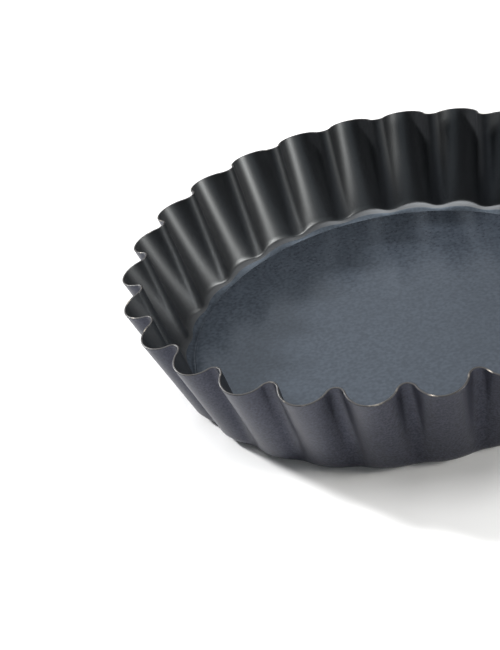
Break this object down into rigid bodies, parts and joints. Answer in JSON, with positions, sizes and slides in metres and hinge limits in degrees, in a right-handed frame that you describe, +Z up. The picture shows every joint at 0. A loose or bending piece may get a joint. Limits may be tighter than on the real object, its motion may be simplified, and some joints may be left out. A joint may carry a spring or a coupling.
{
  "type": "fluted tartlet tin",
  "caption": "Round shallow baking tin with a fluted, outward-leaning wall of dark coated sheet and a loose flat base that stands on an inner ledge and lifts out.",
  "frame": {"origin": "on the axis of the tin, in the plane that it stands on", "axes": "+Z up along the axis of the tin, with the crown of one flute on +X"},
  "size_m": [0.1, 0.0992, 0.0206],
  "materials": {
    "wall_coat": "satin dark grey non-stick coat on thin steel sheet",
    "base_coat": "matt blue-grey non-stick coat on thin steel sheet"
  },
  "bodies": {
    "ring": {"fluted_ring": "wall_coat"},
    "base": {"loose_base": "base_coat"}
  },
  "joints": [
    {"name": "base_lift", "type": "slide", "parent": "ring", "child": "base", "axis": [0, 0, 1], "range_m": [0, 0.03]}
  ]
}
